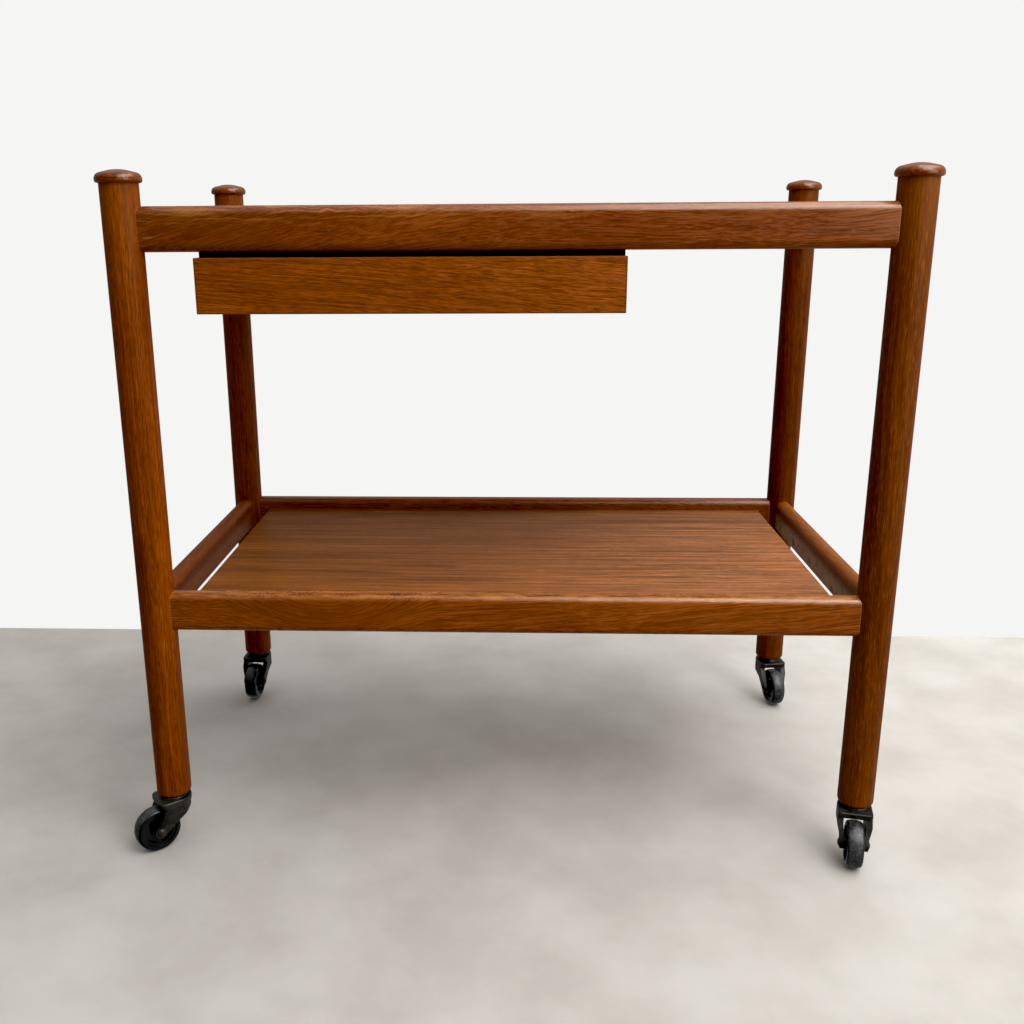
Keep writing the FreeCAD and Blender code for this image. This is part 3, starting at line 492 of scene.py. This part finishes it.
def dust_and_sheen_inside(tree, where, colour):
    """A dull grey-brown film, partly dust and partly painted sheen, with darker blots, low on the inner face
    of the lower right side rail.
    """
    rounding, flat = 0.0008, 0.0001
    film_start, film_full = 0.011, 0.02
    cloud_rate, cloud_edge, film_strengths = 60.0, (0.35, 0.6), (0.45, 0.8)
    blot_rate, blot_edge, blot_strength = 95.0, (0.56, 0.63), 0.7
    low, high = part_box("lower_rail_right")
    parts = split(tree, where)
    inner_face = fade(tree, parts["X"], low[0] + rounding, low[0] + flat)
    inside = multiply(tree, inner_face, fade(tree, parts["Z"], high[2] - film_start, high[2] - film_full))
    clouds = fade(tree, noise(tree, where, cloud_rate, 4.0, 0.6)[0], *cloud_edge, *film_strengths)
    colour = mix_colours(tree, multiply(tree, inside, clouds), colour, DUST_AND_SHEEN_FILM)
    blots = fade(tree, noise(tree, where, blot_rate, 3.0, 0.6)[0], *blot_edge)
    return mix_colours(tree, multiply(tree, inside, blots, blot_strength), colour, CHECK_DARK)


def painted_shelf_light(tree, where, colour):
    """Painted light and shade on the shelves: brighter and less saturated towards their right ends, where
    more light falls, and darker towards their left ends and rear edges, where shade falls.
    """
    left_light, right_light = 0.83, 1.31
    left_depth, right_depth = 1.04, 0.92
    darkening_y, rear_light = -0.02, 0.64
    low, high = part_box("lower_panel")
    parts = split(tree, where)
    along = fade(tree, parts["X"], low[0], high[0], left_light, right_light)
    across = fade(tree, parts["Y"], darkening_y, high[1], 1.0, rear_light)
    inputs = {
        "Saturation": fade(tree, parts["X"], low[0], high[0], left_depth, right_depth),
        "Value": multiply(tree, along, across),
        "Color": colour,
    }
    return place(tree, "ShaderNodeHueSaturation", inputs).outputs[0]


def worn_and_lit_top(tree, where, colour):
    """Golden top of the lower front rail, partly wear and partly painted light where the top catches the
    light from above, broken by noise along the grain.
    """
    start_depth, full_depth = 0.007, 0.002
    break_rates, break_edge = (45.0, 300.0, 300.0), (0.35, 0.65)
    strength = 0.75
    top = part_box("lower_rail_front")[1][2]
    broken = fade(tree, noise(tree, stretch(tree, where, break_rates), 1.0, 3.0, 0.6)[0], *break_edge)
    high = fade(tree, split(tree, where)["Z"], top - start_depth, top - full_depth)
    return mix_colours(tree, multiply(tree, high, broken, strength), colour, RUBBED_AND_LIT)


def knot_mark(tree, where, colour):
    """The knot's small dark eye, broken by noise."""
    eye_scales, eye_edge = (140.0, 420.0, 300.0), (1.0, 0.5)
    break_rate, break_edge = 500.0, (0.35, 0.5)
    strength = 0.85
    offset = arrow(tree, "SUBTRACT", where, KNOT)
    eye = fade(tree, length(tree, stretch(tree, offset, eye_scales)), *eye_edge)
    broken = fade(tree, noise(tree, where, break_rate)[0], *break_edge)
    return mix_colours(tree, multiply(tree, eye, broken, strength), colour, CHECK_DARK)


def bend_round_knot(tree, where):
    """Draws the grain down about a place near the knot, so that its lines arch upwards on both sides."""
    arch_scales, lift = (9.0, 0.0, 14.0), 0.07
    offset = arrow(tree, "SUBTRACT", where, ARCHES)
    aside = fade(tree, length(tree, stretch(tree, offset, arch_scales)), 0.0, 1.0, lift, 0.0)
    return arrow(tree, "ADD", where, place(tree, "ShaderNodeCombineXYZ", {"Z": aside}).outputs[0])


def fall_to_left(tree, where):
    """Grain that runs level at the right and falls away ever more steeply to the left, as a parabola."""
    level_x, steepness = 0.08, 0.36
    left = calculate(tree, "MINIMUM", calculate(tree, "SUBTRACT", split(tree, where)["X"], level_x), 0.0)
    aside = multiply(tree, left, left, steepness)
    return arrow(tree, "ADD", where, place(tree, "ShaderNodeCombineXYZ", {"Z": aside}).outputs[0])


def dress_legs():
    """Teak for the legs and their caps; the front right leg has pale pores."""
    upright = dict(pith=(0.0, 0.2, 0.25), tilt=(0.02, 0.01), ring_width=0.005, wander=0.03, wander_rate=1.4,
                   ring_depth=0.25, streak_depth=0.15, fibre_depth=0.32, fleck_depth=0.2,
                   rough=(0.42, 0.58), gloss=0.15, marks=(paler_tops,))
    pores = {"front_right": dict(pore_tone=PALE_PORES, pore_depth=0.4)}
    for corner, tint in LEG_TINTS.items():
        leg = wood(f"teak_leg_{corner}", "Z", tinted(TEAK, tint), **upright, **pores.get(corner, {}))
        dress(leg, f"leg_{corner}")
    caps = wood("teak_caps", "X", TEAK, pith=(0.0, 0.0, 0.55), ring_width=0.0035, fibre_depth=0.3,
                rough=(0.16, 0.28))
    dress(caps, *at_corners("cap"))


def dress_rails():
    """Teak for the rails, with the grain along each and the wear that each one has."""
    long_grain = dict(pith=(0.0, -0.22, 0.5), ring_width=0.0032, wander=0.07, wander_rate=1.6,
                      streak_depth=0.1, fibre_depth=0.3, pore_tone=PALE_PORES, pore_depth=0.35)
    upper_front = wood("teak_upper_front_rail", "X", TEAK, tilt=(0.02, 0.05), ring_depth=0.14,
                       fleck_depth=0.17, gloss=0.75, bump=0.08, rough=(0.2, 0.36), bend=fall_to_left,
                       **long_grain,
                       marks=(painted_shade_left, golden_fibres, painted_edge_highlights, end_scuffs, drying_checks))
    dress(upper_front, "upper_rail_front")
    lower_front = wood("teak_lower_front_rail", "X", LOWER_FRONT_TEAK, tilt=(0.05, 0.05), ring_depth=0.26,
                       gloss=0.75, rough=(0.2, 0.34), bend=bend_round_knot, **long_grain,
                       marks=(painted_shade_left, painted_edge_highlights, worn_and_lit_top, knot_mark))
    dress(lower_front, "lower_rail_front")
    rear = wood("teak_rear_rails", "X", TEAK, tilt=(-0.06, 0.05), ring_depth=0.2, **long_grain,
                marks=(painted_edge_highlights,))
    dress(rear, "upper_rail_rear", "lower_rail_rear")
    side_marks = {"left": (painted_edge_highlights, painted_dark_reflection), "right": (painted_edge_highlights, painted_dark_reflection, dust_and_sheen_inside)}
    for side, tint in SIDE_TINTS_AND_SHEEN.items():
        rails = wood(f"teak_{side}_rails", "Y", tinted(TEAK, tint), tilt=(0.06, 0.05), ring_depth=0.2,
                     rough=(0.38, 0.55), gloss=0.3, **long_grain, marks=side_marks[side])
        dress(rails, f"upper_rail_{side}", f"lower_rail_{side}")


def dress_shelves():
    """Duller, browner teak veneer for both shelves."""
    shelves = wood("teak_shelves", "X", SHELF_TEAK, pith=(0.0, -1.0, 0.25), tilt=(0.01, 0.01),
                   ring_width=0.005, wander=0.02, ring_depth=0.14, streak_depth=0.34, fleck_depth=0.15,
                   pore_depth=0.25, rough=(0.42, 0.55), gloss=0.16, bump=0.15, marks=(painted_shelf_light,))
    dress(shelves, "top_panel", "lower_panel")


def dress_drawer():
    """Golden teak for the drawer front, beech and birch for its box, and black stain for the hangers and
    bars, whose black also paints the deep shade in the gap above the drawer.
    """
    front = wood("teak_drawer_front", "X", DRAWER_TEAK, pith=(0.0, -0.19, -0.3), tilt=(-0.09, 0.02),
                 ring_width=0.0022, wander=0.035, wander_rate=1.8, ring_depth=0.2, streak_depth=0.07,
                 fibre_depth=0.3, fleck_depth=0.3, pore_depth=0.15, bump=0.15, marks=(lipped_edges,))
    dress(front, "drawer_front")
    plain_box = dict(pith=(0.0, 0.3, 0.3), ring_depth=0.35, streak_depth=0.12, fibre_depth=0.14,
                     pore_depth=0.25)
    dress(wood("beech_drawer_sides", "Y", BEECH, **plain_box), "drawer_side_left", "drawer_side_right")
    dress(wood("beech_drawer_back", "X", BEECH, **plain_box), "drawer_back")
    dress(wood("birch_drawer_bottom", "X", BIRCH, ring_width=0.009, **plain_box), "drawer_bottom")
    matt = dict(rough=(0.6, 0.75), gloss=0.2)
    dress(wood("black_hangers", "Y", BLACK_STAIN_AND_SHADE, **matt), "hanger_left", "hanger_right")
    dress(wood("black_bars_and_shade", "X", BLACK_STAIN_AND_SHADE, **matt), "hanger_front_bar", "hanger_rear_bar")


def metal(name, base, worn, rough, metallic, bump=0.25):
    """Dark or plain metal: clouds rub it towards the worn tone, and fine grit roughens it."""
    cloud_scale = 60.0
    relief_depth = 0.0003
    material, tree, shader, where = new_material(name)
    inputs = {"Place": where, "Cloud Scale": cloud_scale}
    marks = place(tree, "ShaderNodeGroup", inputs, node_tree=WEAR_MARKS).outputs
    tree.links.new(mix_colours(tree, marks["Clouds"], base, worn), shader.inputs["Base Color"])
    tree.links.new(fade(tree, marks["Grit"], *NOISE_SPREAD, *rough), shader.inputs["Roughness"])
    shader.inputs["Metallic"].default_value = metallic
    raise_relief(tree, shader, marks["Grit"], bump, relief_depth)
    return material


def tyre_rubber(corner):
    """Black tyre whose tread, the part nearest the wheel's middle plane, is scuffed grey where it is worn."""
    cloud_scale = 140.0
    tread_start, tread_full = 0.0076, 0.005
    scuff_share, cloud_share, chip_share = 0.4, 0.6, 0.05
    chip_rates, chip_edge = (500.0, 500.0, 900.0), (0.55, 0.67)
    smooth, dull = 0.16, 0.42
    bump, relief_depth = 0.4, 0.0004
    wear = TREAD_WEAR[corner]
    joint = next(joint for joint in frame["joints"] if joint["name"] == f"wheel_spin_{corner}")
    material, tree, shader, where = new_material(f"wheel_tyre_{corner}")
    from_axle = arrow(tree, "SUBTRACT", where, tuple(joint["pos_m"]))
    inputs = {0: from_axle, 1: tuple(joint["axis"])}
    along = place(tree, "ShaderNodeVectorMath", inputs, operation="DOT_PRODUCT").outputs["Value"]
    spread = calculate(tree, "ABSOLUTE", along)
    inputs = {"Place": where, "Cloud Scale": cloud_scale}
    marks = place(tree, "ShaderNodeGroup", inputs, node_tree=WEAR_MARKS).outputs
    tread = fade(tree, spread, tread_start, tread_full, 0.0, wear)
    scuffs = calculate(tree, "MULTIPLY_ADD", marks["Clouds"], cloud_share, scuff_share)
    scuffed = multiply(tree, tread, scuffs)
    colour = mix_colours(tree, scuffed, TYRE_BLACK, TREAD_GREY)
    peaks = fade(tree, noise(tree, stretch(tree, where, chip_rates), roughness=0.6)[0], *chip_edge)
    clouded = calculate(tree, "MULTIPLY_ADD", marks["Clouds"], cloud_share, chip_share)
    colour = mix_colours(tree, multiply(tree, tread, wear, peaks, clouded), colour, TREAD_CHIPS)
    tree.links.new(colour, shader.inputs["Base Color"])
    tree.links.new(fade(tree, scuffed, 0.0, 1.0, smooth, dull), shader.inputs["Roughness"])
    raise_relief(tree, shader, marks["Grit"], bump, relief_depth)
    return material


def dress_casters():
    """Dark bronzed forks and collars, plain steel inside the legs, glossy black wheels with a grey tread."""
    casting = metal("fork_casting", base=(0.011, 0.0105, 0.0095), worn=(0.042, 0.037, 0.029),
                    rough=(0.3, 0.5), metallic=0.4)
    dress(casting, *at_corners("caster_fork"))
    collar = metal("collar_steel", base=(0.04, 0.04, 0.036), worn=(0.12, 0.118, 0.105),
                   rough=(0.2, 0.32), metallic=0.7)
    dress(collar, *at_corners("caster_collar"))
    rivet = metal("axle_steel", base=(0.02, 0.02, 0.019), worn=(0.07, 0.068, 0.062),
                  rough=(0.22, 0.36), metallic=0.7)
    dress(rivet, *at_corners("caster_axle"))
    zinc = metal("bright_steel", base=(0.5, 0.49, 0.47), worn=(0.62, 0.61, 0.6),
                 rough=(0.28, 0.42), metallic=1.0)
    dress(zinc, "hanger_screws", *at_corners("caster_socket", "caster_stem"))
    core = metal("wheel_core", base=(0.004, 0.004, 0.0045), worn=(0.008, 0.008, 0.0085),
                 rough=(0.14, 0.26), metallic=0.0, bump=0.1)
    dress(core, *at_corners("wheel_core"))
    for corner in CORNERS:
        dress(tyre_rubber(corner), f"wheel_tyre_{corner}")


def stage_sheet(name, corners):
    """A flat four-cornered piece of the stage, with a material of its own."""
    mesh = bpy.data.meshes.new(name)
    mesh.from_pydata(corners, [], [(0, 1, 2, 3)])
    sheet = bpy.data.objects.new(name, mesh)
    sheet.visible_glossy = False
    scene.collection.objects.link(sheet)
    material, tree, shader, where = new_material(name)
    mesh.materials.append(material)
    return tree, shader, where


def blend_shaders(tree, factor, first, second):
    """Puts a mix of two shaders on the surface."""
    mixed = place(tree, "ShaderNodeMixShader", {0: factor, 1: first.outputs[0], 2: second.outputs[0]})
    output = next(node for node in tree.nodes if node.type == "OUTPUT_MATERIAL")
    tree.links.new(mixed.outputs[0], output.inputs["Surface"])


def seen_by_camera(tree):
    """1 for what the camera sees directly, and 0 for light and reflections."""
    return place(tree, "ShaderNodeLightPath").outputs["Is Camera Ray"]


def lay_floor():
    """A wide flat floor, pale grey near the cart and, to the camera, white further off like the backdrop."""
    cloud_rate = 7.0
    roughness, gloss = 0.75, 0.2
    grey_until, white_from = 1.1, 1.9
    reach = STAGE_REACH
    corners = [(-reach, -reach, 0.0), (reach, -reach, 0.0), (reach, reach, 0.0), (-reach, reach, 0.0)]
    tree, shader, where = stage_sheet("floor", corners)
    tone = fade(tree, noise(tree, where, cloud_rate, 5.0, 0.6)[0], *NOISE_SPREAD)
    tree.links.new(mix_colours(tree, tone, FLOOR_DARK, FLOOR_PALE), shader.inputs["Base Color"])
    shader.inputs["Roughness"].default_value = roughness
    shader.inputs["Specular IOR Level"].default_value = gloss
    glow = place(tree, "ShaderNodeEmission", {"Color": FAR_FLOOR, "Strength": 1.0})
    far = fade(tree, length(tree, where), grey_until, white_from)
    blend_shaders(tree, multiply(tree, far, seen_by_camera(tree)), shader, glow)


def hang_backdrop():
    """A white sheet close behind the cart, which only the camera sees, and only from the front."""
    reach, y = STAGE_REACH, BACKDROP_Y
    corners = [(-reach, y, 0.0), (reach, y, 0.0), (reach, y, reach), (-reach, y, reach)]
    tree, _, _ = stage_sheet("backdrop", corners)
    clear = place(tree, "ShaderNodeBsdfTransparent")
    glow = place(tree, "ShaderNodeEmission", {"Color": BACKDROP_WHITE, "Strength": 1.0})
    hidden = place(tree, "ShaderNodeNewGeometry").outputs["Backfacing"]
    shown = calculate(tree, "SUBTRACT", seen_by_camera(tree), hidden)
    blend_shaders(tree, calculate(tree, "MAXIMUM", shown, 0.0), clear, glow)


def light_room():
    """A dim room around the cart: brighter above, behind and to the right, and white to the camera."""
    world = bpy.data.worlds.new("studio")
    scene.world = world
    world.use_nodes = True
    tree = world.node_tree
    tree.nodes.clear()
    direction = split(tree, place(tree, "ShaderNodeTexCoord").outputs["Generated"])
    rearward, upward, rightward = (fade(tree, direction[axis], *ROOM_LIGHT[axis]) for axis in ("Y", "Z", "X"))
    around = calculate(tree, "ADD", calculate(tree, "ADD", rearward, upward), rightward)
    ambient = place(tree, "ShaderNodeBackground", {"Color": (1.0, 1.0, 1.0, 1.0), "Strength": around})
    sky = place(tree, "ShaderNodeBackground", {"Color": SKY_WHITE, "Strength": 1.0})
    inputs = {0: seen_by_camera(tree), 1: ambient.outputs[0], 2: sky.outputs[0]}
    both = place(tree, "ShaderNodeMixShader", inputs)
    place(tree, "ShaderNodeOutputWorld", {"Surface": both.outputs[0]})


def hang_lamps():
    """Soft lamps: a broad one overhead, two at the right in front, and one for the pale wall behind."""
    for name, (spot, target, size, power) in LAMPS.items():
        lamp = bpy.data.lights.new(name, "AREA")
        lamp.shape = "RECTANGLE"
        lamp.size, lamp.size_y = size
        lamp.energy = power
        holder = bpy.data.objects.new(name, lamp)
        holder.visible_camera = False
        holder.visible_glossy = name != "wall"
        aim = Vector(target) - Vector(spot)
        holder.matrix_world = Matrix.Translation(spot) @ aim.to_track_quat("-Z", "Y").to_matrix().to_4x4()
        scene.collection.objects.link(holder)


def set_camera():
    """The photograph's view: a little left of straight on, looking down at the shelves."""
    pitch, roll, yaw = (math.radians(angle) for angle in (CAMERA_PITCH, CAMERA_ROLL, CAMERA_YAW))
    ahead = np.array([math.sin(yaw) * math.cos(pitch), math.cos(yaw) * math.cos(pitch), -math.sin(pitch)])
    level = np.array([math.cos(yaw), -math.sin(yaw), 0.0])
    below = np.cross(ahead, level)
    right = math.cos(roll) * level + math.sin(roll) * below
    down = -math.sin(roll) * level + math.cos(roll) * below
    turn = Matrix(np.stack([right, -down, -ahead], axis=1).tolist()).to_4x4()
    camera = bpy.data.cameras.new("camera")
    camera.sensor_width = SENSOR_WIDTH
    camera.lens = FOCAL_LENGTH
    camera.shift_x, camera.shift_y = FRAME_SHIFT
    holder = bpy.data.objects.new("camera", camera)
    holder.matrix_world = Matrix.Translation(CAMERA_PLACE) @ turn
    scene.collection.objects.link(holder)
    scene.camera = holder


def set_exposure():
    """Plain colours with slightly deepened shadows, as the photograph has them."""
    settings = scene.view_settings
    settings.view_transform = "Standard"
    settings.use_curve_mapping = True
    settings.curve_mapping.black_level = BLACK_LEVEL
    settings.curve_mapping.update()


dress_legs()
dress_rails()
dress_shelves()
dress_drawer()
dress_casters()
lay_floor()
hang_backdrop()
light_room()
hang_lamps()
set_camera()
set_exposure()
